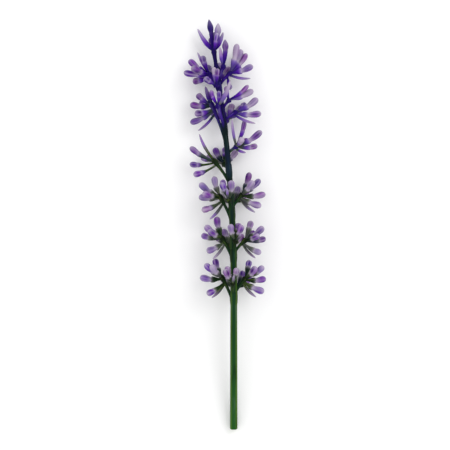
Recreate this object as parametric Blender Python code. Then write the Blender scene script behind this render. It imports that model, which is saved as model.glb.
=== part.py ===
# A lavender flower spike, cut from its plant and laid on its side.
# Metres, +Z up. The tip points along +Y and the cut stem along -Y. The spike lies on z = 0.
# A thin stem carries six whorls and a spray at its tip. Each whorl is a collar round the stem
# with three to five short branches, each ending in a knot from which buds and needles fan out.

import math

import bmesh
import bpy
import numpy as np

MM = 0.001

# Lengths along the spike, all measured down from the very tip
TIP_KNOT = 9.4 * MM
STEM_TOP = 15.2 * MM
TIP_SLEEVE_END = 17.0 * MM
FIRST_WHORL = 19.5 * MM
WHORL_STEP = 12.0 * MM
WHORL_COUNT = 6
SPIKE_LENGTH = 117.0 * MM
LAST_WHORL = FIRST_WHORL + WHORL_STEP * (WHORL_COUNT - 1)

# The stem bows to one side above this depth, and lies down on the surface below the last whorl
STRAIGHT_BELOW = 76.0 * MM
SIDE_BOW = 7.4 * MM
HEAD_HEIGHT = 6.9 * MM
TIP_HEIGHT = 4.4 * MM
DROOP_POWER = 1.7
STEM_POINTS = 46

STEM_RADIUS_TOP = 0.5 * MM
STEM_RADIUS_CUT = 1.15 * MM
STEM_TAPER = 0.42
STEM_GAP = 0.3 * MM

COLLAR_WALL = 0.42 * MM
COLLAR_LENGTH = 3.8 * MM
TIP_STALK_RADIUS = 0.6 * MM
BRANCH_RADIUS = 0.48 * MM
KNOT_RADIUS = 0.85 * MM
BRANCH_ROOT = 0.35 * MM
ROOT_OUT = 0.45 * MM

# How far from its collar's middle a branch may leave it
COLLAR_HOLD = 1.3 * MM

# How deep a rod that lies on the surface is pressed into it, which gives it a small flat
PRESS = 0.2 * MM

SIDES_OF_BUD = 6
FLAT_SIDE = math.cos(math.pi / SIDES_OF_BUD)
SIDES_OF_NEEDLE = 4
SIDES_OF_STEM = 8
SHARP_EDGE = 50

# How far the cutters reach: the bore to each side of a collar, and the block below the surface
BORE_REACH = 14.0 * MM
BORE_POINTS = 13
SOCKET_REACH = 2.0 * MM
SOCKET_POINTS = 5
BLOCK_SIZE = 300.0 * MM

# The model's place over its own origin
CENTRE_X = 2.495 * MM
CENTRE_Y = 58.675 * MM

SEED = 41

# Outlines of the rods: the share of the length from root to tip, and the radius in millimetres
OUTLINES = {
    "ball": ((0.0, 0.36), (0.2, 0.46), (0.42, 0.9), (0.52, 0.64), (0.8, 1.04), (1.0, 0.4)),
    "club": ((0.0, 0.36), (0.3, 0.44), (0.58, 0.86), (0.83, 1.02), (1.0, 0.4)),
    "pin": ((0.0, 0.36), (0.48, 0.42), (0.66, 0.8), (0.85, 0.98), (1.0, 0.4)),
    "slim": ((0.0, 0.36), (0.32, 0.46), (0.6, 0.64), (0.82, 0.76), (1.0, 0.28)),
    "spear": ((0.0, 0.4), (0.3, 0.62), (0.57, 0.68), (0.72, 0.98), (1.0, 0.14)),
    "sliver": ((0.0, 0.4), (0.36, 0.66), (0.62, 0.48), (1.0, 0.16)),
    "needle": ((0.0, 0.4), (0.5, 0.45), (1.0, 0.14)),
}

# A bud sags away from the tip by this share of its length, and LEAN keeps that small along the stem
BUD_SAG = 0.06
LEAN = 0.1

# A branch: the share of the way from collar to knot, and the share of the radius named beside it
BRANCH_SHARES = (0.0, 0.4, 0.75, 1.0, 1.12)
BRANCH_RADII = (BRANCH_RADIUS, BRANCH_RADIUS, 1.1 * BRANCH_RADIUS, KNOT_RADIUS, 0.5 * KNOT_RADIUS)
BRANCH_CURVE = 1.4

# Buds that hang lower than an angle, in degrees, start further down the branch, up to a share
LOW_FROM = 70
LOW_SPAN = 60
LOW_SHARE = 0.22

# A collar: the share of its length from the middle, and the share of its wall
COLLAR_SHAPE = ((0.5, 0.5), (0.2, 0.85), (-0.1, 1.0), (-0.5, 0.55))

# The stalk of the tip spray: shares of the way from the knot down to the sleeve's end. The first
# radii are shares of the stalk's radius, the others of the sleeve's
STALK_SHAPE = ((-0.14, 0.8), (0.0, 1.3), (0.2, 1.0), (0.48, 1.0))
SLEEVE_SHAPE = ((0.64, 0.9), (0.82, 1.0), (1.0, 0.9))

# The branches of the upper whorls, as the front shows them. Each has its turn round the stem from
# the right, how far the knot stands out from the stem and up from the collar, where it leaves the
# stem, in millimetres, and its buds: the angle from the stem, the lift to the front, both in
# degrees, the length and the kind
SEEN_BRANCHES = {
    1: (
        (0, 3.6, 3.5, 0.4, (
            (22, 14, 8.6, "ball"), (32, -14, 8.0, "ball"), (47, -12, 7.7, "ball"),
            (80, 6, 7.0, "ball"), (106, -10, 6.5, "needle"), (172, -24, 4.1, "slim"),
            (58, -52, 6.0, "club"))),
        (42, 2.6, 5.5, 1.0, ((13, -3, 7.6, "spear"), (1, 4, 5.5, "sliver"))),
        (180, 2.3, 4.0, -2.6, (
            (13, 10, 5.7, "club"), (19, -16, 7.8, "needle"), (45, -10, 7.4, "ball"),
            (64, 40, 6.6, "ball"), (77, 10, 7.5, "ball"), (95, -20, 5.6, "club"),
            (60, -50, 6.2, "club"))),
        (112, 2.7, 0.4, 0.0, (
            (8, 6, 5.1, "slim"), (12, 21, 4.8, "slim"), (58, -22, 4.4, "club"))),
    ),
    2: (
        (0, 3.6, 4.4, 2.4, (
            (63, -8, 7.6, "ball"), (97, 5, 7.7, "ball"), (120, 10, 7.1, "needle"),
            (48, -50, 6.4, "club"))),
        (40, 2.7, 7.9, 5.8, (
            (54, -30, 7.0, "slim"), (65, -46, 7.6, "ball"), (11, 20, 4.2, "slim"))),
        (180, 2.9, 7.2, -4.4, (
            (13, 16, 5.7, "sliver"), (47, 8, 5.3, "club"), (77, -12, 6.5, "ball"),
            (98, 14, 5.7, "club"), (109, -9, 7.7, "ball"), (127, -18, 7.2, "needle"),
            (62, -52, 6.0, "ball"))),
        (118, 2.6, 6.5, -1.0, (
            (10, 16, 4.4, "slim"), (14, -12, 5.0, "slim"), (4, 38, 8.4, "sliver"))),
    ),
    3: (
        (0, 2.6, 6.8, 5.1, (
            (-4, 20, 8.4, "needle"), (22, -8, 8.4, "slim"), (63, 10, 8.6, "ball"),
            (42, 52, 4.5, "club"), (89, -14, 6.5, "club"), (117, 8, 3.6, "needle"),
            (56, -50, 6.2, "ball"))),
        (180, 3.9, 3.2, -3.7, (
            (24, -10, 9.2, "needle"), (55, 12, 8.1, "club"), (87, -16, 7.7, "pin"),
            (109, 6, 7.4, "pin"), (62, -52, 6.4, "pin"))),
    ),
}

# The other branches are drawn by a rule, out and up in millimetres and fans in degrees
SIDE_OUT = (2.8, 3.4)
SIDE_UP = (4.2, 6.0)
SIDE_FAN = (4, 18, 116)
FRONT_TURN = {4: 104, 5: 76, 6: 98}
FRONT_OUT = 2.5
FRONT_UP = (3.2, 4.4)
FRONT_FAN = (3, 4, 36)
FRONT_SIZE = 0.82
BACK_TURN = (262, 284, 250, 276, 258, 280)
BACK_OUT = 3.7
BACK_UP = (2.2, 3.2)
BACK_SIZE = 0.86
BACK_SPREAD = (0.92, 1.06)

# The back branch lies on the surface, so its buds splay sideways: lift, angle
BACK_FAN = ((-52, 24), (-18, 20), (17, 24), (50, 20))

# Each drawn side branch also has a bud to the front and one to the back, leaning this much
DOUBLE_BUDS = ((36, "ball"), (-50, "club"))
DOUBLE_ANGLE = (38, 74)
DOUBLE_SIZE = (0.8, 0.94)

# The right branch leaves the stem higher than the left one does
SIDE_ROOTS = {0: (0.2, 1.8), 180: (-3.0, -1.2)}

# What a drawn fan varies: bud lengths in millimetres, and the ranges of the draws
BUD_LENGTH = 6.9
LOW_BUD_LENGTH = 6.4
LOW_WHORLS_FROM = 5
FAN_SWAY = 6
FAN_LIFT = (8, 24)
FAN_SIZE = (0.88, 1.08)
CLUB_CHANCE = 0.4
NEEDLE_BELOW = (18, 30)
NEEDLE_SWAY = 12
NEEDLE_SIZE = 0.9

# The spray at the tip: each bud's turn, angle, lift, length in millimetres and kind
TIP_FAN = (
    (0, 1, 0, 9.4, "spear"),
    (199, 26, 0, 8.3, "sliver"),
    (24, 20, 0, 8.2, "spear"),
    (353, 35, 0, 6.3, "sliver"),
    (60, 38, 0, 5.9, "slim"),
    (264, 30, 0, 5.3, "slim"),
    (310, 24, -6, 6.6, "slim"),
)

UPPER_WHORLS = 3
COLOURS = {
    "stem": (0.028, 0.070, 0.042),
    "tip_spray": (0.085, 0.030, 0.330),
    "upper": (0.150, 0.060, 0.380),
    "lower": (0.220, 0.150, 0.390),
}
STEM_ROUGHNESS = 0.5
BUD_ROUGHNESS = 0.55


def stem_point(depth):
    """The stem's centre at a depth: a parabola to one side, and a droop down to the surface."""
    side = -SIDE_BOW * max(0.0, 1 - depth / STRAIGHT_BELOW) ** 2
    if depth < LAST_WHORL:
        height = HEAD_HEIGHT - (HEAD_HEIGHT - TIP_HEIGHT) * (1 - depth / LAST_WHORL) ** 2
    else:
        share = (depth - LAST_WHORL) / (SPIKE_LENGTH - LAST_WHORL)
        height = HEAD_HEIGHT - (HEAD_HEIGHT - STEM_RADIUS_CUT) * share ** DROOP_POWER
    return np.array((side + CENTRE_X, CENTRE_Y - depth, height))


def stem_radius(depth):
    """The stem thickens from its top to the cut, quickest near the top."""
    share = max(0.0, depth - STEM_TOP) / (SPIKE_LENGTH - STEM_TOP)
    return STEM_RADIUS_TOP + (STEM_RADIUS_CUT - STEM_RADIUS_TOP) * share ** STEM_TAPER


def stem_frame(depth):
    """The stem's centre there, with unit vectors towards the tip, to the right and upwards."""
    step = 0.5 * MM
    ahead = stem_point(depth - step) - stem_point(depth + step)
    ahead /= np.linalg.norm(ahead)
    right = np.cross(ahead, (0.0, 0.0, 1.0))
    right /= np.linalg.norm(right)
    return stem_point(depth), ahead, right, np.cross(right, ahead)


def lateral(frame, turn):
    """Unit vectors straight out from the stem at a turn round it, and sideways to that."""
    centre, ahead, right, up = frame
    angle = math.radians(turn)
    outward = math.cos(angle) * right + math.sin(angle) * up
    across = math.cos(angle) * up - math.sin(angle) * right
    return outward, across


def bud_direction(frame, turn, angle, lift):
    """A bud leans from the stem's direction by an angle, and out of that plane by a lift."""
    outward, across = lateral(frame, turn)
    angle = math.radians(angle)
    lift = math.radians(lift)
    flat = math.cos(angle) * frame[1] + math.sin(angle) * outward
    return math.cos(lift) * flat + math.sin(lift) * across


def fan_of_buds(draws, count, first, last, length):
    """Buds spread evenly between two angles, with a needle below them, each with a small draw."""
    fan = []
    for place in range(count):
        angle = first + (last - first) * place / (count - 1) + draws.uniform(-FAN_SWAY, FAN_SWAY)
        lift = (1 if place % 2 else -1) * draws.uniform(*FAN_LIFT)
        kind = "club" if draws.random() < CLUB_CHANCE else "ball"
        fan.append((angle, lift, length * draws.uniform(*FAN_SIZE), kind))
    angle = last + draws.uniform(*NEEDLE_BELOW)
    fan.append((angle, draws.uniform(-NEEDLE_SWAY, NEEDLE_SWAY), NEEDLE_SIZE * length, "needle"))
    return fan


def side_branch(turn, draws, length):
    """A branch to the left or right by the rule, with a bud to its front and one to its back."""
    out, up, root = draws.uniform(*SIDE_OUT), draws.uniform(*SIDE_UP), draws.uniform(*SIDE_ROOTS[turn])
    fan = fan_of_buds(draws, *SIDE_FAN, length)
    for lift, kind in DOUBLE_BUDS:
        fan.append((draws.uniform(*DOUBLE_ANGLE), lift, length * draws.uniform(*DOUBLE_SIZE), kind))
    return turn, out, up, root, fan


def back_fan(draws, length):
    """The buds of the back branch, of two kinds by turns."""
    fan = []
    for place, (lift, angle) in enumerate(BACK_FAN):
        size = BACK_SIZE * length * draws.uniform(*BACK_SPREAD)
        fan.append((angle, lift, size, "ball" if place % 2 else "club"))
    return fan


def whorl_branches(number, draws):
    """The branches of a whorl: its turn, the knot's place, where it leaves the stem and its buds."""
    length = BUD_LENGTH if number < LOW_WHORLS_FROM else LOW_BUD_LENGTH
    if number in SEEN_BRANCHES:
        branches = list(SEEN_BRANCHES[number])
    else:
        branches = [side_branch(turn, draws, length) for turn in SIDE_ROOTS]
        fan = fan_of_buds(draws, *FRONT_FAN, FRONT_SIZE * length)
        branches.append((FRONT_TURN[number], FRONT_OUT, draws.uniform(*FRONT_UP), 0.0, fan))
    fan = back_fan(draws, length)
    branches.append((BACK_TURN[number - 1], BACK_OUT, draws.uniform(*BACK_UP), 0.0, fan))
    return branches


def whorl_depth(number):
    """How far below the tip a whorl's collar is centred."""
    return FIRST_WHORL + WHORL_STEP * (number - 1)


def branch_point(branch, share):
    """A branch leaves the collar along the stem and curves out to its knot by a power of the share."""
    frame, outward, out, up, root_out, root_up = branch
    side = root_out + (out - root_out) * share ** BRANCH_CURVE
    return frame[0] + side * outward + (root_up + share * (up - root_up)) * frame[1]


def plan_whorl(number):
    """A whorl's frame, its branches and its buds, and for each bud whether it rests below."""
    draws = np.random.default_rng(SEED + number)
    frame = stem_frame(whorl_depth(number))
    root_out = stem_radius(whorl_depth(number)) + STEM_GAP + BRANCH_ROOT
    branches, buds = [], []
    for turn, out, up, root, fan in whorl_branches(number, draws):
        outward = lateral(frame, turn)[0]
        root_up = max(-COLLAR_HOLD, min(COLLAR_HOLD, root * MM))
        branch = (frame, outward, out * MM, up * MM, root_out, root_up)
        branches.append(branch)
        rests = turn in BACK_TURN
        to_front = 1 if rests or math.cos(math.radians(turn)) > 0 else -1
        for angle, lift, length, kind in fan:
            low = LOW_SHARE * max(0.0, min(1.0, (angle - LOW_FROM) / LOW_SPAN))
            direction = bud_direction(frame, turn, angle, lift * to_front)
            knot = branch_point(branch, 1 - low)
            buds.append((knot, direction, length * MM, kind, rests))
    return frame, branches, buds


def plan_tip():
    """The spray at the tip: one long closed bud, shorter pointed ones round it and a thin needle."""
    frame = stem_frame(TIP_KNOT)
    buds = [(frame[0], bud_direction(frame, turn, angle, lift), length * MM, kind, False)
            for turn, angle, lift, length, kind in TIP_FAN]
    return frame, buds


def meet_surface(points, radii, shares, rests):
    """Bends a rod up or, if it rests, down from its root until its pressed flat is on the surface."""
    under = -PRESS - (points[:, 2] - radii * FLAT_SIDE)
    raise_by = float(np.max(under[1:] / shares[1:]))
    points[:, 2] += (raise_by if rests else max(0.0, raise_by)) * shares
    return points


def bud_rod(bud, frame):
    """A bud's centre line, a straight run that sags a little away from the tip, with its radii."""
    knot, direction, length, kind, rests = bud
    outline = np.array(OUTLINES[kind])
    shares, radii = outline[:, 0], outline[:, 1] * MM
    lean = frame[1] - (frame[1] @ direction) * direction
    sag = np.sin(np.pi * shares) * BUD_SAG * length / (np.linalg.norm(lean) + LEAN)
    run = ROOT_OUT + shares * (length - ROOT_OUT)
    points = knot + np.outer(run, direction) - np.outer(sag, lean)
    return meet_surface(points, radii, shares, rests), radii


def branch_rod(branch):
    """A branch from its collar to a little past its knot, with its radii."""
    return np.array([branch_point(branch, share) for share in BRANCH_SHARES]), np.array(BRANCH_RADII)


def link(thing, collection):
    collection.objects.link(thing)
    return thing


def tube(name, points, radii, sides, collection):
    """A mesh tube through the points with its own radius at each, both ends closed."""
    curve = bpy.data.curves.new(name, "CURVE")
    curve.dimensions = "3D"
    curve.bevel_depth = 1.0
    curve.bevel_resolution = (sides - 4) // 2
    curve.render_resolution_u = 0
    curve.use_fill_caps = True
    spline = curve.splines.new("POLY")
    spline.points.add(len(points) - 1)
    spline.points.foreach_set("co", np.c_[points, np.ones(len(points))].ravel())
    spline.points.foreach_set("radius", np.asarray(radii, float))
    holder = link(bpy.data.objects.new(name, curve), collection)
    bpy.context.view_layer.update()
    evaluated = holder.evaluated_get(bpy.context.evaluated_depsgraph_get())
    mesh = bpy.data.meshes.new_from_object(evaluated)
    bpy.data.objects.remove(holder)
    work = bmesh.new()
    work.from_mesh(mesh)
    bmesh.ops.remove_doubles(work, verts=work.verts, dist=0.00001)
    bmesh.ops.recalc_face_normals(work, faces=work.faces)
    bmesh.ops.triangulate(work, faces=work.faces)
    work.to_mesh(mesh)
    work.free()
    return link(bpy.data.objects.new(name, mesh), collection)


def stem_tube(name, top, bottom, extra, collection, count):
    """A tube along the stem between two depths, thicker than the stem by a given amount."""
    depths = np.linspace(bottom, top, count)
    points = np.array([stem_point(depth) for depth in depths])
    radii = np.array([stem_radius(depth) + extra for depth in depths])
    return tube(name, points, radii, SIDES_OF_STEM, collection)


def floor_block(collection):
    """Everything below the surface that the spike lies on."""
    bpy.ops.mesh.primitive_cube_add(size=BLOCK_SIZE, location=(0, 0, -BLOCK_SIZE / 2))
    block = bpy.context.object
    block.name = "below_surface"
    for owner in list(block.users_collection):
        owner.objects.unlink(block)
    return link(block, collection)


def apply_boolean(target, operation, operand):
    """One Boolean, with an object or with every object of a collection, applied at once."""
    cut = target.modifiers.new("join", "BOOLEAN")
    cut.operation = operation
    cut.solver = "MANIFOLD"
    if isinstance(operand, bpy.types.Collection):
        cut.operand_type = "COLLECTION"
        cut.collection = operand
    else:
        cut.object = operand
    bpy.context.view_layer.update()
    evaluated = target.evaluated_get(bpy.context.evaluated_depsgraph_get())
    mesh = bpy.data.meshes.new_from_object(evaluated)
    target.modifiers.clear()
    target.data = mesh


def keep_main_body(target):
    """Keeps the largest connected body: what fusing seals is filled, and loose scrap goes."""
    work = bmesh.new()
    work.from_mesh(target.data)
    bmesh.ops.triangulate(work, faces=work.faces)
    unseen = set(work.verts)
    bodies = []
    while unseen:
        front = [unseen.pop()]
        body = set(front)
        while front:
            corner = front.pop()
            for edge in corner.link_edges:
                other = edge.other_vert(corner)
                if other in unseen:
                    unseen.discard(other)
                    body.add(other)
                    front.append(other)
        bodies.append(body)
    largest = max(bodies, key=len)
    scrap = [corner for body in bodies if body is not largest for corner in body]
    bmesh.ops.delete(work, geom=scrap, context="VERTS")
    work.to_mesh(target.data)
    work.free()


def plastic(name, colour, roughness):
    """A soft moulded plastic in one colour."""
    material = bpy.data.materials.new(name)
    material.use_nodes = True
    shader = material.node_tree.nodes["Principled BSDF"]
    shader.inputs["Base Color"].default_value = (*colour, 1.0)
    shader.inputs["Roughness"].default_value = roughness
    shader.inputs["Metallic"].default_value = 0.0
    return material


def fuse(name, core, rods, bore, below, guides, parts, material):
    """Joins every rod to the core in one solid, then leaves room for the stem and the surface."""
    gathered = bpy.data.collections.new(name + "_rods")
    guides.children.link(gathered)
    for place, (points, radii, sides) in enumerate(rods):
        tube(f"{name}_rod_{place}", points, radii, sides, gathered)
    apply_boolean(core, "UNION", gathered)
    apply_boolean(core, "DIFFERENCE", bore)
    apply_boolean(core, "DIFFERENCE", below)
    keep_main_body(core)
    for rod in list(gathered.objects):
        bpy.data.objects.remove(rod)
    bpy.data.collections.remove(gathered)
    bpy.data.objects.remove(bore)
    for owner in list(core.users_collection):
        owner.objects.unlink(core)
    link(core, parts)
    core.name = name
    core.data.name = name
    core.data.materials.clear()
    core.data.materials.append(material)


def bud_rods(buds, frame):
    """Every bud as a rod with its number of sides."""
    rods = []
    for bud in buds:
        sides = SIDES_OF_NEEDLE if bud[3] == "needle" else SIDES_OF_BUD
        rods.append((*bud_rod(bud, frame), sides))
    return rods


def collar(name, depth, collection):
    """A slim sheath round the stem, from which the branches of a whorl grow."""
    shares, walls = np.array(COLLAR_SHAPE).T
    depths = depth + shares * COLLAR_LENGTH
    points = np.array([stem_point(place) for place in depths])
    radii = np.array([stem_radius(place) for place in depths]) + STEM_GAP + walls * COLLAR_WALL
    return tube(name, points, radii, SIDES_OF_STEM, collection)


def make_whorl(number, below, guides, parts, material):
    frame, branches, buds = plan_whorl(number)
    depth = whorl_depth(number)
    name = f"whorl_{number:02d}"
    rods = [(*branch_rod(branch), SIDES_OF_BUD) for branch in branches] + bud_rods(buds, frame)
    core = collar(name + "_collar", depth, guides)
    ends = (depth - BORE_REACH, depth + BORE_REACH)
    bore = stem_tube(name + "_bore", *ends, STEM_GAP, guides, BORE_POINTS)
    fuse(name, core, rods, bore, below, guides, parts, material)


def tip_stalk(collection):
    """The spray's own short stalk, which widens downwards into a sleeve over the stem's top."""
    sleeve = stem_radius(TIP_SLEEVE_END) + STEM_GAP + COLLAR_WALL
    outline = [(share, radius * TIP_STALK_RADIUS) for share, radius in STALK_SHAPE]
    outline += [(share, radius * sleeve) for share, radius in SLEEVE_SHAPE]
    shares, radii = np.array(outline[::-1]).T
    depths = TIP_KNOT + shares * (TIP_SLEEVE_END - TIP_KNOT)
    points = np.array([stem_point(depth) for depth in depths])
    return tube("tip_spray_stalk", points, radii, SIDES_OF_STEM, collection)


def make_tip_spray(below, guides, parts, material):
    frame, buds = plan_tip()
    core = tip_stalk(guides)
    ends = (STEM_TOP - STEM_GAP, TIP_SLEEVE_END + SOCKET_REACH)
    bore = stem_tube("tip_spray_bore", *ends, STEM_GAP, guides, SOCKET_POINTS)
    fuse("tip_spray", core, bud_rods(buds, frame), bore, below, guides, parts, material)


def main():
    for thing in list(bpy.data.objects):
        bpy.data.objects.remove(thing)
    parts = bpy.data.collections.new("lavender_flower_spike")
    guides = bpy.data.collections.new("cutters")
    for collection in (parts, guides):
        bpy.context.scene.collection.children.link(collection)

    stem = stem_tube("stem", STEM_TOP, SPIKE_LENGTH, 0.0, parts, STEM_POINTS)
    stem.data.materials.append(plastic("stem_green", COLOURS["stem"], STEM_ROUGHNESS))

    below = floor_block(guides)
    tip_violet = plastic("tip_violet", COLOURS["tip_spray"], BUD_ROUGHNESS)
    make_tip_spray(below, guides, parts, tip_violet)
    upper = plastic("bud_violet", COLOURS["upper"], BUD_ROUGHNESS)
    lower = plastic("bud_lilac", COLOURS["lower"], BUD_ROUGHNESS)
    for number in range(1, WHORL_COUNT + 1):
        make_whorl(number, below, guides, parts, upper if number <= UPPER_WHORLS else lower)
    bpy.data.objects.remove(below)

    for part in parts.objects:
        part.data.shade_smooth()
        part.data.set_sharp_from_angle(angle=math.radians(SHARP_EDGE))


main()
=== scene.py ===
# A lavender flower spike, cut and laid down with its tip away from the viewer's feet.
# It is moulded in plastic, sprig by sprig, and its colour runs from violet at the tip to green.

import math

import bpy
import numpy as np
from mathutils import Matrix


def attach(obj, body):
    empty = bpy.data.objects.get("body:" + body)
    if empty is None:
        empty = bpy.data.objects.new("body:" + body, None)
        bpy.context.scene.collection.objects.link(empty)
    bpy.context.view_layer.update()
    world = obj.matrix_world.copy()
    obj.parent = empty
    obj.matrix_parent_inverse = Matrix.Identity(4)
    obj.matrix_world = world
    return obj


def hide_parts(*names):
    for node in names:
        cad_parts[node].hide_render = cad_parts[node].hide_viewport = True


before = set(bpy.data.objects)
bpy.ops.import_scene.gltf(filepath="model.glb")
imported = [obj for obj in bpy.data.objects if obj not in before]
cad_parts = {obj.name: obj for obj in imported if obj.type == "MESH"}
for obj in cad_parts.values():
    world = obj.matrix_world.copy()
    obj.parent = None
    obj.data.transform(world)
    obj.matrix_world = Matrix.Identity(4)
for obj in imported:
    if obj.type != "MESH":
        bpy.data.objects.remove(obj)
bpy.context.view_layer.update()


# The stem
# A thin moulded stalk, square with rounded corners, that bows at the top and droops to the
# surface below the flowers. It is moulded in one length and cut straight across at the foot.

MM = 0.001
SPIKE_LENGTH = 117.0 * MM
STEM_TOP = 15.2 * MM
LAST_WHORL = 79.5 * MM
STRAIGHT_BELOW = 76.0 * MM
SIDE_BOW = 7.4 * MM
HEAD_HEIGHT = 6.9 * MM
TIP_HEIGHT = 4.4 * MM
DROOP_POWER = 1.7
STEM_RADIUS_TOP = 0.5 * MM
STEM_RADIUS_CUT = 1.15 * MM
STEM_TAPER = 0.42
STEM_STATIONS = 260
STEM_AROUND = 32
CORNERS = 4
FIRST_CORNER = np.pi / 4
SQUARE_MEAN = 0.97
SQUARE_SWELL = 0.035
CUT_SHARES = (0.3, 0.55, 0.78, 0.94)
CUT_HOLLOW = (0.16, 0.13, 0.05, 0.0)
CUT_BEVEL = 0.06 * MM
AXIS_STEP = 0.5 * MM
SPIKE_X = 2.495 * MM
SPIKE_Y = 58.675 * MM
UPWARDS = np.array((0.0, 0.0, 1.0))


def unit(vectors):
    """Each vector divided by its own length."""
    return vectors / np.linalg.norm(vectors, axis=-1, keepdims=True)


def stem_centre(depth):
    """The stem's centre line by depth below the tip. Sideways it is a parabola that ends where
    the stem gets straight, in height a parabola down to the last whorl and a power curve to the
    foot."""
    depth = np.asarray(depth, float)
    side = -SIDE_BOW * np.maximum(0.0, 1 - depth / STRAIGHT_BELOW) ** 2
    head = HEAD_HEIGHT - (HEAD_HEIGHT - TIP_HEIGHT) * (1 - depth / LAST_WHORL) ** 2
    share = np.maximum(0.0, depth - LAST_WHORL) / (SPIKE_LENGTH - LAST_WHORL)
    foot = HEAD_HEIGHT - (HEAD_HEIGHT - STEM_RADIUS_CUT) * share ** DROOP_POWER
    return np.stack((side + SPIKE_X, SPIKE_Y - depth, np.where(depth < LAST_WHORL, head, foot)), -1)


def stem_radius(depth):
    """The radius grows from the top to the cut as a power of the share of the way."""
    share = np.maximum(0.0, np.asarray(depth, float) - STEM_TOP) / (SPIKE_LENGTH - STEM_TOP)
    return STEM_RADIUS_TOP + (STEM_RADIUS_CUT - STEM_RADIUS_TOP) * share ** STEM_TAPER


def stem_axes(depth):
    """Unit vectors there: ahead along the stem to the tip, right across it and level, and up."""
    depth = np.asarray(depth, float)
    ahead = unit(stem_centre(depth - AXIS_STEP) - stem_centre(depth + AXIS_STEP))
    right = unit(np.cross(ahead, UPWARDS))
    return ahead, right, np.cross(right, ahead)


# How far past a strip's end the point of its fan lies on the wrap map, and the margin of a cell
# on the atlas map
FAN_REACH = 0.03
CELL_MARGIN = 0.03


def skin(name, rings, poles, marks):
    """A mesh of closed tubes. rings holds points by tube, station and place round it, poles the two
    end points of each tube. Stations are joined by quads and each end is closed by a fan. marks
    are numbers kept on the points. The wrap map runs 0 to 1 round and along each tube, and the
    atlas map lays the same strips side by side, one cell to a tube."""
    tubes, stations, around = rings.shape[:3]
    points = np.concatenate((rings.reshape(-1, 3), poles.reshape(-1, 3)))
    tube, station, place = np.meshgrid(
        np.arange(tubes), np.arange(stations - 1), np.arange(around), indexing="ij")
    foot = (tube * stations + station) * around
    here = foot + place
    beside = foot + (place + 1) % around
    quads = np.stack((here, here + around, beside + around, beside), -1).reshape(-1, 4)
    low = station / (stations - 1)
    high = (station + 1) / (stations - 1)
    left = place / around
    right = (place + 1) / around
    quad_map = np.stack((left, low, left, high, right, high, right, low), -1).reshape(-1, 4, 2)
    quad_cell = np.broadcast_to(tube.reshape(-1, 1), quads.shape)

    tube, place = np.meshgrid(np.arange(tubes), np.arange(around), indexing="ij")
    first = tubes * stations * around + 2 * tube
    start = tube * stations * around
    end = start + (stations - 1) * around
    beside = (place + 1) % around
    fans = np.concatenate((
        np.stack((first, start + place, start + beside), -1).reshape(-1, 3),
        np.stack((first + 1, end + beside, end + place), -1).reshape(-1, 3)))
    left = place / around
    right = (place + 1) / around
    middle = (place + 0.5) / around
    level = np.zeros(place.shape)
    fan_map = np.concatenate((
        np.stack((middle, level - FAN_REACH, left, level, right, level), -1),
        np.stack((middle, level + 1 + FAN_REACH, right, level + 1, left, level + 1), -1)))
    fan_cell = np.tile(np.broadcast_to(tube.reshape(-1, 1), (tube.size, 3)), (2, 1))

    mesh = bpy.data.meshes.new(name)
    mesh.from_pydata(points.tolist(), [], quads.tolist() + fans.tolist())
    wrap = np.concatenate((quad_map.reshape(-1, 2), fan_map.reshape(-1, 2)))
    cell = np.concatenate((quad_cell.ravel(), fan_cell.ravel()))
    columns = math.ceil(math.sqrt(tubes))
    rows = math.ceil(tubes / columns)
    shares = np.stack((wrap[:, 0], (wrap[:, 1] + FAN_REACH) / (1 + 2 * FAN_REACH)), -1)
    inset = shares * (1 - 2 * CELL_MARGIN) + CELL_MARGIN
    corner = np.stack((cell % columns, cell // columns), -1)
    for layer, places in (("OFBake", (inset + corner) / (columns, rows)), ("wrap", wrap)):
        mesh.uv_layers.new(name=layer).uv.foreach_set("vector", places.astype(np.float32).ravel())
    for mark, values in marks.items():
        kept = mesh.attributes.new(mark, "FLOAT", "POINT")
        kept.data.foreach_set("value", np.asarray(values, np.float32).ravel())
    mesh.shade_smooth()
    piece = bpy.data.objects.new(name, mesh)
    bpy.context.scene.collection.objects.link(piece)
    return piece


def spread_marks(rings, **marks):
    """Each mark stretched to every point of its rings, with the mean of its first ring for the
    first pole and of its last ring for the other."""
    tubes, stations, around = rings.shape[:3]
    spread = {}
    for mark, values in marks.items():
        values = np.broadcast_to(values, (tubes, stations, around))
        ends = np.stack([values[:, place].mean(-1) for place in (0, -1)], -1)
        spread[mark] = np.concatenate((values.ravel(), ends.ravel()))
    return spread


def dye(code):
    """A colour from its two hex digits each of red, green and blue, turned to linear light: a
    straight line for the darkest values and a power of 2.4 above them."""
    parts = np.array([int(code[place:place + 2], 16) for place in (0, 2, 4)]) / 255
    linear = np.where(parts <= 0.04045, parts / 12.92, ((parts + 0.055) / 1.055) ** 2.4)
    return (*linear.tolist(), 1.0)


class Level:
    """A number that varies over a surface. Arithmetic on it adds Math nodes to its plastic."""

    def __init__(self, plastic, socket):
        self.plastic = plastic
        self.socket = socket

    def work(self, operation, first, second):
        return self.plastic.node("Math", {"operation": operation}, {0: first, 1: second})

    def __add__(self, other):
        return self.work("ADD", self, other)

    def __sub__(self, other):
        return self.work("SUBTRACT", self, other)

    def __rsub__(self, other):
        return self.work("SUBTRACT", other, self)

    def __mul__(self, other):
        return self.work("MULTIPLY", self, other)

    __radd__ = __add__
    __rmul__ = __mul__


# How far up its drum a tube starts, times the tube's own number, and how fine the grain is
OWN_HEIGHT = 40
GRAIN_SCALE = 2600.0


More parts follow.
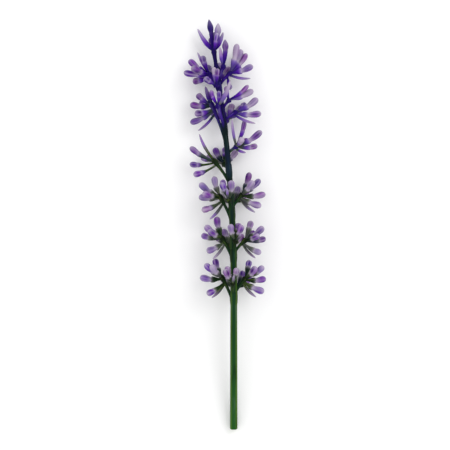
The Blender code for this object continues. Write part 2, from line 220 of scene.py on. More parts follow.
class Plastic:
    """A moulded plastic finish, built node by node on one Principled shader."""

    def __init__(self, name, gloss):
        self.material = bpy.data.materials.new(name)
        self.material.use_nodes = True
        self.tree = self.material.node_tree
        self.shader = self.tree.nodes["Principled BSDF"]
        self.feed(self.shader.inputs["Specular IOR Level"], gloss)

    def feed(self, socket, value):
        if isinstance(value, Level):
            self.tree.links.new(value.socket, socket)
        else:
            socket.default_value = value

    def node(self, kind, settings, sockets, output=0):
        """One node: its type, its settings first, then the values or links of its sockets."""
        made = self.tree.nodes.new("ShaderNode" + kind)
        for key, value in settings.items():
            if key == "stops":
                ramp = made.color_ramp
                while len(ramp.elements) < len(value):
                    ramp.elements.new(1.0)
                for stop, (place, tint) in zip(ramp.elements, value):
                    stop.position = place
                    stop.color = tint
            else:
                setattr(made, key, value)
        for key, value in sockets.items():
            self.feed(made.inputs[key], value)
        return Level(self, made.outputs[output])

    def mark(self, name):
        """A number kept on the mesh's points."""
        return self.node("Attribute", {"attribute_name": name}, {}, "Fac")

    def wrap(self, around, along, height=None):
        """Places on a drum: the strip round each tube is bent to a circle of so many units round,
        so that a pattern there closes, and each tube starts at a height of its own."""
        flat = self.node("UVMap", {"uv_map": "wrap"}, {})
        turn = self.node("SeparateXYZ", {}, {"Vector": flat}, "X") * (2 * math.pi)
        height = (height or self.node("SeparateXYZ", {}, {"Vector": flat}, "Y")) * along
        reach = around / (2 * math.pi)
        sockets = {
            "X": self.node("Math", {"operation": "COSINE"}, {0: turn}) * reach,
            "Y": self.node("Math", {"operation": "SINE"}, {0: turn}) * reach,
            "Z": height + self.mark("own") * OWN_HEIGHT}
        return self.node("CombineXYZ", {}, sockets)

    def speckle(self, scale, detail, where=None):
        """Smooth noise from 0 to 1, in solid space unless a place on the strip is given."""
        where = where or self.node("TexCoord", {}, {}, "Object")
        return self.node("TexNoise", {}, {"Vector": where, "Scale": scale, "Detail": detail})

    def ease(self, level, low, high):
        """0 below low and 1 above high, with a soft step between."""
        settings = {"interpolation_type": "SMOOTHSTEP"}
        return self.node("MapRange", settings, {"Value": level, "From Min": low, "From Max": high})

    def blend(self, first, second, share):
        """The first colour turned into the second by a share."""
        sockets = {"Factor": share, 6: first, 7: second}
        return self.node("Mix", {"data_type": "RGBA"}, sockets, 2)

    def ramp(self, level, *stops):
        """Colours laid along a level, each at its own value."""
        return self.node("ValToRGB", {"stops": stops}, {"Fac": level})

    def finish(self, colour, roughness, relief, depth):
        """Gives the shader its colour and its roughness, and a relief of so many metres."""
        self.feed(self.shader.inputs["Base Color"], colour)
        self.feed(self.shader.inputs["Roughness"], roughness)
        sockets = {"Height": relief, "Distance": depth, "Strength": 1.0}
        self.feed(self.shader.inputs["Normal"], self.node("Bump", {}, sockets))
        return self.material


def round_places(count):
    """The angles of so many places, spread evenly round a section."""
    return 2 * np.pi * np.arange(count) / count


def outward_ways(angle, right, up):
    """At each station the directions out from the line: right times the angle's cosine, and up
    times its sine."""
    return np.cos(angle)[:, None] * right[:, None] + np.sin(angle)[:, None] * up[:, None]


def square_section(angle):
    """The stem's section: a circle that swells four times round by a cosine."""
    return SQUARE_MEAN + SQUARE_SWELL * np.cos(CORNERS * (angle - FIRST_CORNER))


def stem_ridge(angle):
    """How far round a corner of the section a place is, from 0 on the flats to 1."""
    return np.clip(np.cos(CORNERS * (angle - FIRST_CORNER)), 0, None)


def make_stem():
    """The square section is carried along the centre line. At the foot more rings of the same
    section close inwards over the slightly hollow cut."""
    depths = np.linspace(STEM_TOP, SPIKE_LENGTH, STEM_STATIONS)[::-1]
    ahead, right, up = stem_axes(depths)
    angle = round_places(STEM_AROUND)
    square = square_section(angle)
    centres = stem_centre(depths)
    radii = stem_radius(depths)
    cut_shares = np.array(CUT_SHARES)
    cut_rings = len(CUT_SHARES)
    foot = centres[0] + np.array(CUT_HOLLOW)[:, None] * MM * ahead[0]
    centres[0] += CUT_BEVEL * ahead[0]
    centres = np.concatenate((foot, centres))
    radii = np.concatenate((cut_shares * radii[0], radii))
    right = np.concatenate((np.repeat(right[:1], cut_rings, 0), right))
    up = np.concatenate((np.repeat(up[:1], cut_rings, 0), up))
    out = radii[:, None, None] * square[:, None] * outward_ways(angle, right, up)
    rings = centres[:, None] + out
    poles = np.array((foot[0], centres[-1]))
    down = np.concatenate((np.full(cut_rings, SPIKE_LENGTH), depths))[:, None] / SPIKE_LENGTH
    pith = np.concatenate((1 - cut_shares, np.zeros(STEM_STATIONS)))[:, None]
    marks = spread_marks(rings[None], down=down, pith=pith, ridge=stem_ridge(angle))
    return skin("flower_stem", rings[None], poles[None], marks)


STEM_RELIEF = 0.05 * MM


def stem_plastic():
    """Indigo at the top through blue-black to green at the foot, with streaks along it, a painted
    olive highlight along the corners lower down and a pale pith at the cut."""
    plastic = Plastic("stem_plastic", gloss=0.08)
    streaks = plastic.speckle(1.0, 3.0, plastic.wrap(6.0, 9.0, plastic.mark("down")))
    place = plastic.mark("down") + 0.05 * (streaks - 0.5)
    colour = plastic.ramp(
        place,
        (0.13, dye("19065e")), (0.215, dye("14054e")), (0.25, dye("06042c")),
        (0.275, dye("021416")), (0.305, dye("041a1c")), (0.335, dye("07132c")),
        (0.365, dye("0b2030")), (0.39, dye("061e20")), (0.47, dye("07211a")),
        (0.62, dye("0b2f1a")), (0.8, dye("133d1b")), (1.0, dye("1e4f1c")))
    # Painted highlight: lower down, the corners of the square section are lightened towards olive
    # as if lit along their edges. The collars share it.
    low = plastic.ease(plastic.mark("down"), 0.3, 0.75)
    colour = plastic.blend(colour, dye("6a8a1e"), 0.35 * plastic.mark("ridge") * low)
    colour = plastic.blend(colour, dye("020a09"), 0.6 * plastic.ease(streaks, 0.5, 0.64))
    colour = plastic.blend(colour, dye("4e6658"), 0.3 * plastic.ease(0.5 - streaks, 0.06, 0.2))
    pith = plastic.ease(plastic.mark("pith"), 0.05, 0.4)
    colour = plastic.blend(colour, dye("b9c98a"), 0.85 * pith)
    relief = streaks * 0.7 + plastic.speckle(GRAIN_SCALE, 2.0) * 0.3
    return plastic.finish(colour, 0.34 + 0.25 * streaks, relief, STEM_RELIEF)


stem = make_stem()
stem_finish = stem_plastic()
stem.data.materials.append(stem_finish)
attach(stem, "root")
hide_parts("stem")


# The whorls' collars and branches
# Six times down the stem a short sheath grips it and sends out three to five thin branches. Each
# ends in a knot, a thick lobed place from which the buds fan out.

FIRST_WHORL = 19.5 * MM
WHORL_STEP = 12.0 * MM
WHORL_COUNT = 6
COLLAR_LENGTH = 3.8 * MM
BRANCH_START = 0.2 * MM
BRANCH_CURVE = 1.4
WHORL_SEED = 41
TONE_SEED = 500
TONE_DRAW = (-0.5, 0.6)

# Each branch as the front shows it: its turn round the stem from the right, how far its knot
# stands out from the stem and up from the collar, where it leaves the stem, in millimetres, how
# green it is, and its buds: angle from the stem, lift to the front, length, kind and tone
SEEN_BRANCHES = {
    1: (
        (0, 3.6, 3.5, 0.4, -0.1, (
            (22, 14, 8.6, "ball", 0.5), (32, -14, 8.0, "ball", 0.6), (47, -12, 7.7, "ball", 0.15),
            (80, 6, 7.0, "ball", 0.1), (106, -10, 6.5, "needle", 0.35),
            (172, -24, 4.1, "slim", -0.3), (58, -52, 6.0, "club", -0.3))),
        (42, 2.6, 5.5, 1.0, -0.3, ((13, -3, 7.6, "spear", -0.6), (1, 4, 5.5, "sliver", 0.3))),
        (180, 2.3, 4.0, -2.6, -0.1, (
            (13, 10, 5.7, "club", -0.5), (19, -16, 7.8, "needle", 0.45),
            (45, -10, 7.4, "ball", -0.1), (64, 40, 6.6, "ball", -0.4), (77, 10, 7.5, "ball", -0.2),
            (95, -20, 5.6, "club", -0.4), (60, -50, 6.2, "club", -0.3))),
        (112, 2.7, 0.4, 0.0, -0.2, (
            (8, 6, 5.1, "slim", 0.9), (12, 21, 4.8, "slim", -0.4), (58, -22, 4.4, "club", -0.4))),
    ),
    2: (
        (0, 3.6, 4.4, 2.4, 0.05, (
            (63, -8, 7.6, "ball", 0.3), (97, 5, 7.7, "ball", 0.05), (120, 10, 7.1, "needle", 0.2),
            (48, -50, 6.4, "club", -0.2))),
        (40, 2.7, 7.9, 5.8, -0.1, (
            (54, -30, 7.0, "slim", -0.2), (65, -46, 7.6, "ball", 0.75),
            (11, 20, 4.2, "slim", 0.1))),
        (180, 2.9, 7.2, -4.4, 0.48, (
            (13, 16, 5.7, "sliver", -0.7), (47, 8, 5.3, "club", -0.55),
            (77, -12, 6.5, "ball", -0.3), (98, 14, 5.7, "club", -0.3), (109, -9, 7.7, "ball", -0.5),
            (127, -18, 7.2, "needle", -0.4), (62, -52, 6.0, "ball", -0.2))),
        (118, 2.6, 6.5, -1.0, 0.2, (
            (10, 16, 4.4, "slim", -0.4), (14, -12, 5.0, "slim", 0.0), (4, 38, 8.4, "sliver", 0.9))),
    ),
    3: (
        (0, 2.6, 6.8, 5.1, 0.53, (
            (-4, 20, 8.4, "needle", 0.65), (22, -8, 8.4, "slim", -0.3), (63, 10, 8.6, "ball", 0.2),
            (42, 52, 4.5, "club", 0.8), (89, -14, 6.5, "club", -0.2), (117, 8, 3.6, "needle", 0.0),
            (56, -50, 6.2, "ball", -0.2))),
        (180, 3.9, 3.2, -3.7, 1.0, (
            (24, -10, 9.2, "needle", 0.0), (55, 12, 8.1, "club", -0.4), (87, -16, 7.7, "pin", 0.0),
            (109, 6, 7.4, "pin", 0.1), (62, -52, 6.4, "pin", -0.2))),
    ),
}
WHORL_GREEN = {1: 0.0, 2: 0.25, 3: 0.8, 4: 1.1, 5: 1.45, 6: 1.75}

# The rule for all other branches. Lengths are in millimetres, angles in degrees, shares are of a
# bud's length, and pairs are the ends of a random draw
BUD_LENGTH = 6.9
LOW_BUD_LENGTH = 6.4
LOW_BUDS_FROM = 5
ANGLE_DRAW = 6
LIFT_DRAW = (8, 24)
CLUB_CHANCE = 0.4
LENGTH_DRAW = (0.88, 1.08)
NEEDLE_BELOW = (18, 30)
NEEDLE_LIFT = 12
NEEDLE_SHARE = 0.9
SIDE_OUT = (2.8, 3.4)
SIDE_UP = (4.2, 6.0)
SIDE_ROOTS = {0: (0.2, 1.8), 180: (-3.0, -1.2)}
SIDE_FAN = (4, 18, 116)
DOUBLE_BUDS = ((36, "ball"), (-50, "club"))
DOUBLE_ANGLES = (38, 74)
DOUBLE_SHARES = (0.8, 0.94)
FRONT_TURN = {4: 104, 5: 76, 6: 98}
FRONT_OUT = 2.5
FRONT_UP = (3.2, 4.4)
FRONT_FAN = (3, 4, 36)
FRONT_SHARE = 0.82
BACK_TURN = (262, 284, 250, 276, 258, 280)
BACK_OUT = 3.7
BACK_UP = (2.2, 3.2)
BACK_FAN = ((-52, 24), (-18, 20), (17, 24), (50, 20))
BACK_SHARE = 0.86
BACK_DRAW = (0.92, 1.06)

# Past which angle a bud starts lower on its branch, over what span, and how low at most
LOW_FROM = 70
LOW_SPAN = 60
LOW_SHARE = 0.22


def lateral(axes, turn):
    """Straight out from the stem at a turn round it from the right: right times the turn's cosine
    and up times its sine. The other way is the same a quarter turn on."""
    ahead, right, up = axes
    turn = math.radians(turn)
    across = math.cos(turn) * up - math.sin(turn) * right
    return math.cos(turn) * right + math.sin(turn) * up, across


def fan_of_buds(draws, count, first, last, length):
    """Buds spread evenly between two angles with a needle below them, each with a small draw."""
    fan = []
    for place in range(count):
        even = first + (last - first) * place / (count - 1)
        angle = even + draws.uniform(-ANGLE_DRAW, ANGLE_DRAW)
        lift = (1 if place % 2 else -1) * draws.uniform(*LIFT_DRAW)
        kind = "club" if draws.random() < CLUB_CHANCE else "ball"
        fan.append((angle, lift, length * draws.uniform(*LENGTH_DRAW), kind))
    angle = last + draws.uniform(*NEEDLE_BELOW)
    fan.append((angle, draws.uniform(-NEEDLE_LIFT, NEEDLE_LIFT), NEEDLE_SHARE * length, "needle"))
    return fan


def side_branch(turn, green, draws, length):
    """A branch to the left or right by the rule, with a bud to its front and one to its back."""
    out, up = draws.uniform(*SIDE_OUT), draws.uniform(*SIDE_UP)
    root = draws.uniform(*SIDE_ROOTS[turn])
    fan = fan_of_buds(draws, *SIDE_FAN, length)
    for lift, kind in DOUBLE_BUDS:
        angle = draws.uniform(*DOUBLE_ANGLES)
        fan.append((angle, lift, length * draws.uniform(*DOUBLE_SHARES), kind))
    return turn, out, up, root, green, fan


def whorl_branches(number, draws):
    """A whorl's branches: turn, the knot's place, where each leaves the stem, green, and buds."""
    length = BUD_LENGTH if number < LOW_BUDS_FROM else LOW_BUD_LENGTH
    green = WHORL_GREEN[number]
    if number in SEEN_BRANCHES:
        branches = list(SEEN_BRANCHES[number])
    else:
        branches = [side_branch(turn, green, draws, length) for turn in SIDE_ROOTS]
        fan = fan_of_buds(draws, *FRONT_FAN, FRONT_SHARE * length)
        up = draws.uniform(*FRONT_UP)
        branches.append((FRONT_TURN[number], FRONT_OUT, up, 0.0, green, fan))
    fan = []
    for place, (lift, angle) in enumerate(BACK_FAN):
        size = BACK_SHARE * length * draws.uniform(*BACK_DRAW)
        fan.append((angle, lift, size, "ball" if place % 2 else "club"))
    branches.append((BACK_TURN[number - 1], BACK_OUT, draws.uniform(*BACK_UP), 0.0, green, fan))
    return branches


def branch_line(branch, share):
    """A branch starts inside the stem, runs along it and swings out to its knot by a power of the
    share of its way."""
    centre, ahead, outward, out, up, root_up = branch
    share = np.asarray(share, float)
    side = BRANCH_START + (out - BRANCH_START) * np.maximum(share, 0) ** BRANCH_CURVE
    along = root_up + share * (up - root_up)
    return centre + side[..., None] * outward + along[..., None] * ahead


def plan_whorl(number):
    """Where a whorl's branches run and its buds point, worked out from the stem's own axes. Buds
    that hang low start lower on their branch. Back branches rest on the surface."""
    depth = FIRST_WHORL + WHORL_STEP * (number - 1)
    centre, axes = stem_centre(depth), stem_axes(depth)
    branches, buds = [], []
    tones = np.random.default_rng(TONE_SEED + number)
    rows = whorl_branches(number, np.random.default_rng(WHORL_SEED + number))
    for turn, out, up, root, green, fan in rows:
        outward, across = lateral(axes, turn)
        rests = turn in BACK_TURN
        to_front = 1 if rests or math.cos(math.radians(turn)) > 0 else -1
        branch = (centre, axes[0], outward, out * MM, up * MM, root * MM)
        branches.append((branch, green))
        for angle, lift, length, kind, *tone in fan:
            low = LOW_SHARE * max(0.0, min(1.0, (angle - LOW_FROM) / LOW_SPAN))
            angle, lift = math.radians(angle), math.radians(lift * to_front)
            flat = math.cos(angle) * axes[0] + math.sin(angle) * outward
            way = math.cos(lift) * flat + math.sin(lift) * across
            drawn = tones.uniform(*TONE_DRAW)
            shade = tone[0] if tone else drawn
            knot = branch_line(branch, 1 - low)
            buds.append((kind, knot, way, axes[0], length * MM, shade, green, rests))
    return depth, branches, buds


def smooth_line(knots, per_span):
    """A line through rows of numbers. Between two rows each number follows the cubic whose slope
    at a row is half the step between that row's neighbours."""
    rows = np.array(knots, float)
    padded = np.concatenate((rows[:1] * 2 - rows[1:2], rows, rows[-1:] * 2 - rows[-2:-1]))
    at = np.linspace(0, len(rows) - 1, per_span * (len(rows) - 1) + 1)
    span = np.minimum(at.astype(int), len(rows) - 2)
    share = (at - span)[:, None]
    before, start, end, after = (padded[span + place] for place in range(4))
    slope_in, slope_out = (end - before) / 2, (after - start) / 2
    rise = end - start
    bend = 3 * rise - 2 * slope_in - slope_out
    turn = slope_in + slope_out - 2 * rise
    return start + share * (slope_in + share * (bend + share * turn))


# Share of the way from stem to knot, radius in millimetres, depth of the lobes round the knot
BRANCH_SHAPE = (
    (-0.05, 0.20, 0.0), (0.05, 0.45, 0.0), (0.2, 0.45, 0.0), (0.45, 0.42, 0.0),
    (0.68, 0.44, 0.02), (0.82, 0.54, 0.05), (0.93, 0.70, 0.09), (1.0, 0.78, 0.11),
    (1.07, 0.62, 0.09), (1.12, 0.36, 0.0))
BRANCH_AROUND = 20
STATIONS_PER_ROW = 4
LOBES = 5


def branch_tubes(branches, depth):
    """Each branch's line with a round section about it, lobed at the knot by a cosine."""
    share, radius, lobes = smooth_line(BRANCH_SHAPE, STATIONS_PER_ROW).T
    angle = round_places(BRANCH_AROUND)
    girth = radius[:, None] * MM * (1 + lobes[:, None] * np.cos(LOBES * angle))
    rings, poles = [], []
    for branch, _ in branches:
        line = branch_line(branch, share)
        along = unit(np.gradient(line, axis=0))
        right = unit(np.cross(along, np.cross(branch[1], branch[2])))
        out = outward_ways(angle, right, np.cross(right, along))
        rings.append(line[:, None] + girth[..., None] * out)
        poles.append((line[0], line[-1]))
    rings, poles = np.array(rings), np.array(poles)
    green = np.array([green for _, green in branches])[:, None, None]
    own = (depth / SPIKE_LENGTH + np.arange(len(branches)) / len(branches))[:, None, None]
    marks = spread_marks(rings, along=np.clip(share, 0, 1)[:, None], green=green, own=own)
    return rings, poles, marks


# Share of the collar's length from its middle, thickness over the stem in millimetres, depth of
# the ribs, and the length of the teeth at its upper edge
COLLAR_SHAPE = (
    (-0.52, -0.06, 0.0, 0.0), (-0.46, 0.0, 0.0, 0.0), (-0.36, 0.05, 0.01, 0.0),
    (-0.1, 0.12, 0.03, 0.0), (0.2, 0.12, 0.03, 0.03), (0.38, 0.10, 0.04, 0.1),
    (0.5, 0.06, 0.03, 0.16), (0.47, -0.12, 0.0, 0.14))
COLLAR_AROUND = 40
COLLAR_RIBS = 8
COLLAR_TEETH = 4
FIRST_TOOTH = 0.4


def collar_tube(depth):
    """A sheath round the stem: the outline's thickness is added to the stem's square section, with
    a cosine for the ribs, and another slides the edge towards the tip along it for the teeth."""
    share, wall, ribs, teeth = smooth_line(COLLAR_SHAPE, STATIONS_PER_ROW).T
    angle = round_places(COLLAR_AROUND)
    depths = depth - share * COLLAR_LENGTH
    ahead, right, up = stem_axes(depths)
    radius = stem_radius(depths)[:, None] * square_section(angle) + wall[:, None] * MM
    radius = radius * (1 + ribs[:, None] * np.cos(COLLAR_RIBS * angle))
    slide = teeth[:, None] * MM * np.cos(COLLAR_TEETH * (angle - FIRST_TOOTH))
    out = radius[..., None] * outward_ways(angle, right, up)
    rings = stem_centre(depths)[:, None] + out + slide[..., None] * ahead[:, None]
    poles = stem_centre(depths[[0, -1]])[None]
    marks = spread_marks(
        rings[None], down=depths[:, None] / SPIKE_LENGTH, ridge=stem_ridge(angle),
        pith=0.0, own=depth / WHORL_STEP)
    return rings[None], poles, marks


def stalk_plastic():
    """Indigo above and dark green below. A branch of the indigo kind is greener at its root than at
    its knot. Pale streaks along it, greyish on indigo and olive on green and more of them towards
    the knot, are painted highlights."""
    plastic = Plastic("stalk_plastic", gloss=0.06)
    streaks = plastic.speckle(1.0, 3.0, plastic.wrap(5.0, 3.0))
    along = plastic.mark("along")
    violet = plastic.ramp(
        along + 0.3 * (streaks - 0.5),
        (0.0, dye("090230")), (0.3, dye("1c0656")), (0.6, dye("300f76")),
        (0.85, dye("2a0c6c")), (1.0, dye("1c0858")))
    green = plastic.ramp(
        along + 0.4 * (streaks - 0.5),
        (0.0, dye("061c18")), (0.4, dye("0f2e18")), (0.8, dye("142a12")), (1.0, dye("101a0a")))
    leafy = plastic.mark("green")
    lean = 0.5 * (streaks - 0.5) + 0.8 * (0.5 - along) * (1 - leafy)
    share = plastic.ease(leafy + lean, 0.2, 0.7)
    colour = plastic.blend(violet, green, share)
    # Painted highlight: pale streaks along the branch stand in for the shine on the glossy arms,
    # greyish on indigo and olive on green.
    light = plastic.ease(streaks, 0.52, 0.7) * plastic.ease(along, 0.2, 0.8)
    colour = plastic.blend(colour, dye("8778ac"), 0.28 * light * (1 - share))
    colour = plastic.blend(colour, dye("5f7232"), 0.4 * light * share)
    relief = streaks * 0.7 + plastic.speckle(GRAIN_SCALE, 2.0) * 0.3
    return plastic.finish(colour, 0.36 + 0.2 * streaks, relief, STEM_RELIEF)


stalk_finish = stalk_plastic()
whorl_plans = {}
for number in range(1, WHORL_COUNT + 1):
    depth, branches, buds = plan_whorl(number)
    node = f"whorl_{number:02d}"
    whorl_plans[node] = buds
    stalks = skin(node + "_branches", *branch_tubes(branches, depth))
    collar = skin(node + "_collar", *collar_tube(depth))
    for piece, finish in ((stalks, stalk_finish), (collar, stem_finish)):
        piece.data.materials.append(finish)
        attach(piece, "root")
        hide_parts(node)


# The tip spray's stalk
# The topmost buds stand on a stalk of their own, moulded with them. It widens downwards into a
# sleeve that is pushed over the stem's thin end.

TIP_KNOT = 9.4 * MM
TIP_SLEEVE_END = 17.0 * MM

# Share of the way from the knot down to the sleeve's end, radius in millimetres, depth of the lobes
STALK_SHAPE = (
    (-0.16, 0.30, 0.0), (-0.1, 0.56, 0.08), (0.0, 0.78, 0.10), (0.1, 0.66, 0.05), (0.25, 0.56, 0.0),
    (0.46, 0.58, 0.0), (0.58, 0.80, 0.04), (0.68, 1.10, 0.06), (0.82, 1.20, 0.06),
    (0.95, 1.12, 0.05), (1.0, 0.98, 0.0), (1.0, 0.40, 0.0))


def tip_stalk_tube():
    """The outline turned round the stem's centre line above its top, lobed by a cosine."""
    share, radius, lobes = smooth_line(STALK_SHAPE[::-1], STATIONS_PER_ROW).T
    angle = round_places(COLLAR_AROUND)
    depths = TIP_KNOT + share * (TIP_SLEEVE_END - TIP_KNOT)
    _, right, up = stem_axes(depths)
    girth = radius[:, None] * MM * (1 + lobes[:, None] * np.cos(LOBES * angle))
    rings = stem_centre(depths)[:, None] + girth[..., None] * outward_ways(angle, right, up)
    rings = rings[None]
    poles = stem_centre(depths[[0, -1]])[None]
    marks = spread_marks(rings, along=0.2, green=0.0, own=0.5)
    return rings, poles, marks


tip_stalk = skin("tip_spray_stalk", *tip_stalk_tube())
tip_stalk.data.materials.append(stalk_finish)
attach(tip_stalk, "root")
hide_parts("tip_spray")


# The buds and needles
# Each bud is a ribbed cup on a thin foot with a pale toothed rim, and a rounded head of closed
# petals stands in it. Needles are thin scales. All are moulded in one shot with their knot.

ROOT_OUT = 0.45 * MM
BUD_SAG = 0.06
SAG_LEAN = 0.1
PRESS = 0.2 * MM
FLAT_SIDE = math.cos(math.pi / 6)
SURFACE_GAP = 0.01 * MM

# The solids' own outlines, from which a bud that meets the surface learns how far to bend
SOLID_OUTLINES = {
    "ball": ((0.0, 0.36), (0.2, 0.46), (0.42, 0.9), (0.52, 0.64), (0.8, 1.04), (1.0, 0.4)),
    "club": ((0.0, 0.36), (0.3, 0.44), (0.58, 0.86), (0.83, 1.02), (1.0, 0.4)),
    "pin": ((0.0, 0.36), (0.48, 0.42), (0.66, 0.8), (0.85, 0.98), (1.0, 0.4)),
    "slim": ((0.0, 0.36), (0.32, 0.46), (0.6, 0.64), (0.82, 0.76), (1.0, 0.28)),
    "spear": ((0.0, 0.4), (0.3, 0.62), (0.57, 0.68), (0.72, 0.98), (1.0, 0.14)),
    "sliver": ((0.0, 0.4), (0.36, 0.66), (0.62, 0.48), (1.0, 0.16)),
    "needle": ((0.0, 0.4), (0.5, 0.45), (1.0, 0.14)),
}
# Share of the length, radius in millimetres, depth of the ribs, length of the teeth in millimetres,
# depth of the creases between petals, whether it is petal, and how pale it is, partly the bud's own
# colour and partly a painted highlight at the rim and the end
BUD_SHAPES = {
    "ball": (
        (0.0, 0.34, 0.0, 0.0, 0.0, 0.0, 0.0), (0.1, 0.38, 0.0, 0.0, 0.0, 0.0, 0.0),
        (0.2, 0.50, 0.03, 0.0, 0.0, 0.0, 0.0), (0.3, 0.70, 0.06, 0.0, 0.0, 0.0, 0.0),
        (0.38, 0.81, 0.06, 0.04, 0.0, 0.0, 0.15), (0.44, 0.84, 0.03, 0.10, 0.0, 0.0, 0.6),
        (0.456, 0.82, 0.0, 0.13, 0.0, 0.1, 0.9), (0.45, 0.72, 0.0, 0.08, 0.0, 0.6, 0.8),
        (0.46, 0.64, 0.0, 0.0, 0.0, 1.0, 0.8), (0.52, 0.66, 0.0, 0.0, 0.02, 1.0, 0.65),
        (0.60, 0.78, 0.0, 0.0, 0.03, 1.0, 0.25), (0.70, 0.90, 0.0, 0.0, 0.05, 1.0, 0.0),
        (0.79, 0.95, 0.0, 0.0, 0.06, 1.0, 0.0), (0.87, 0.92, 0.0, 0.0, 0.08, 1.0, 0.1),
        (0.935, 0.75, 0.0, 0.0, 0.08, 1.0, 0.35), (0.978, 0.47, 0.0, 0.0, 0.08, 1.0, 0.7),
        (0.998, 0.18, 0.0, 0.0, 0.06, 1.0, 0.9)),
    "club": (
        (0.0, 0.34, 0.0, 0.0, 0.0, 0.0, 0.0), (0.12, 0.36, 0.0, 0.0, 0.0, 0.0, 0.0),
        (0.25, 0.42, 0.03, 0.0, 0.0, 0.0, 0.0), (0.36, 0.54, 0.06, 0.0, 0.0, 0.0, 0.0),
        (0.48, 0.68, 0.06, 0.02, 0.0, 0.0, 0.05), (0.57, 0.77, 0.04, 0.08, 0.0, 0.0, 0.4),
        (0.62, 0.80, 0.02, 0.13, 0.0, 0.1, 0.7), (0.632, 0.78, 0.0, 0.12, 0.0, 0.6, 0.7),
        (0.63, 0.74, 0.0, 0.06, 0.03, 1.0, 0.55), (0.69, 0.81, 0.0, 0.0, 0.05, 1.0, 0.15),
        (0.77, 0.89, 0.0, 0.0, 0.06, 1.0, 0.0), (0.85, 0.90, 0.0, 0.0, 0.08, 1.0, 0.1),
        (0.925, 0.76, 0.0, 0.0, 0.08, 1.0, 0.35), (0.974, 0.48, 0.0, 0.0, 0.08, 1.0, 0.7),
        (0.997, 0.18, 0.0, 0.0, 0.06, 1.0, 0.9)),
    "pin": (
        (0.0, 0.28, 0.0, 0.0, 0.0, 0.0, 0.0), (0.2, 0.29, 0.0, 0.0, 0.0, 0.0, 0.0),
        (0.4, 0.32, 0.0, 0.0, 0.0, 0.0, 0.0), (0.5, 0.42, 0.04, 0.0, 0.0, 0.0, 0.0),
        (0.6, 0.62, 0.06, 0.05, 0.0, 0.0, 0.15), (0.655, 0.73, 0.03, 0.13, 0.0, 0.1, 0.6),
        (0.668, 0.71, 0.0, 0.12, 0.0, 0.6, 0.6), (0.665, 0.66, 0.0, 0.05, 0.03, 1.0, 0.4),
        (0.73, 0.77, 0.0, 0.0, 0.05, 1.0, 0.05), (0.82, 0.88, 0.0, 0.0, 0.06, 1.0, 0.0),
        (0.9, 0.83, 0.0, 0.0, 0.08, 1.0, 0.25), (0.958, 0.63, 0.0, 0.0, 0.08, 1.0, 0.6),
        (0.988, 0.36, 0.0, 0.0, 0.08, 1.0, 0.8), (0.999, 0.15, 0.0, 0.0, 0.06, 1.0, 0.9)),
    "slim": (
        (0.0, 0.30, 0.0, 0.0, 0.0, 0.0, 0.0), (0.14, 0.34, 0.0, 0.0, 0.0, 0.0, 0.0),
        (0.3, 0.43, 0.05, 0.0, 0.0, 0.0, 0.0), (0.45, 0.53, 0.05, 0.02, 0.0, 0.0, 0.0),
        (0.56, 0.60, 0.03, 0.12, 0.0, 0.1, 0.3), (0.575, 0.58, 0.0, 0.10, 0.0, 0.6, 0.4),
        (0.57, 0.55, 0.0, 0.04, 0.03, 1.0, 0.2), (0.66, 0.62, 0.0, 0.0, 0.05, 1.0, 0.0),
        (0.78, 0.69, 0.0, 0.0, 0.06, 1.0, 0.05), (0.88, 0.63, 0.0, 0.0, 0.08, 1.0, 0.25),
        (0.95, 0.44, 0.0, 0.0, 0.08, 1.0, 0.6), (0.985, 0.24, 0.0, 0.0, 0.06, 1.0, 0.8),
        (0.998, 0.11, 0.0, 0.0, 0.05, 1.0, 0.9)),
    "spear": (
        (0.0, 0.34, 0.0, 0.0, 0.0, 0.0, 0.0), (0.12, 0.46, 0.03, 0.0, 0.0, 0.0, 0.0),
        (0.28, 0.58, 0.06, 0.0, 0.0, 0.0, 0.0), (0.42, 0.62, 0.06, 0.04, 0.0, 0.0, 0.0),
        (0.54, 0.67, 0.03, 0.18, 0.0, 0.1, 0.15), (0.56, 0.65, 0.0, 0.14, 0.0, 0.6, 0.25),
        (0.555, 0.60, 0.0, 0.06, 0.03, 1.0, 0.1), (0.62, 0.76, 0.0, 0.0, 0.06, 1.0, 0.0),
        (0.7, 0.93, 0.0, 0.0, 0.08, 1.0, 0.05), (0.77, 0.91, 0.0, 0.0, 0.1, 1.0, 0.25),
        (0.85, 0.72, 0.0, 0.0, 0.11, 1.0, 0.6), (0.93, 0.43, 0.0, 0.0, 0.11, 1.0, 0.85),
        (0.98, 0.17, 0.0, 0.0, 0.08, 1.0, 0.9)),
    "sliver": (
        (0.0, 0.34, 0.0, 0.0, 0.0, 0.0, 0.0), (0.2, 0.56, 0.04, 0.0, 0.0, 0.0, 0.0),
        (0.36, 0.65, 0.05, 0.0, 0.0, 0.0, 0.0), (0.5, 0.60, 0.04, 0.0, 0.0, 0.3, 0.1),
        (0.66, 0.52, 0.03, 0.0, 0.0, 0.6, 0.3), (0.82, 0.42, 0.0, 0.0, 0.0, 0.9, 0.5),
        (0.93, 0.27, 0.0, 0.0, 0.0, 1.0, 0.7), (0.985, 0.13, 0.0, 0.0, 0.0, 1.0, 0.9)),
    "needle": (
        (0.0, 0.30, 0.0, 0.0, 0.0, 0.0, 0.0), (0.2, 0.36, 0.02, 0.0, 0.0, 0.0, 0.0),
        (0.5, 0.41, 0.04, 0.0, 0.0, 0.2, 0.1), (0.75, 0.35, 0.03, 0.0, 0.0, 0.5, 0.3),
        (0.92, 0.22, 0.0, 0.0, 0.0, 0.8, 0.6), (0.985, 0.11, 0.0, 0.0, 0.0, 1.0, 0.9)),
}
# How thick a section is for its width, and how many ribs it has
BUD_SECTIONS = {"ball": (1.0, 10), "club": (1.0, 10), "pin": (1.0, 10), "slim": (0.9, 10),
                "spear": (0.92, 10), "sliver": (0.75, 2), "needle": (0.75, 2)}
POINTED_BUDS = ("spear", "sliver", "needle")
END_DIMPLE = 0.004
BUD_AROUND = 40
BUD_STATIONS_PER_ROW = 2
SECTION_LEAN = 0.25
PETALS = 5
CREASE_WIDTH = 0.17
EDGE_WIDTH = 0.24

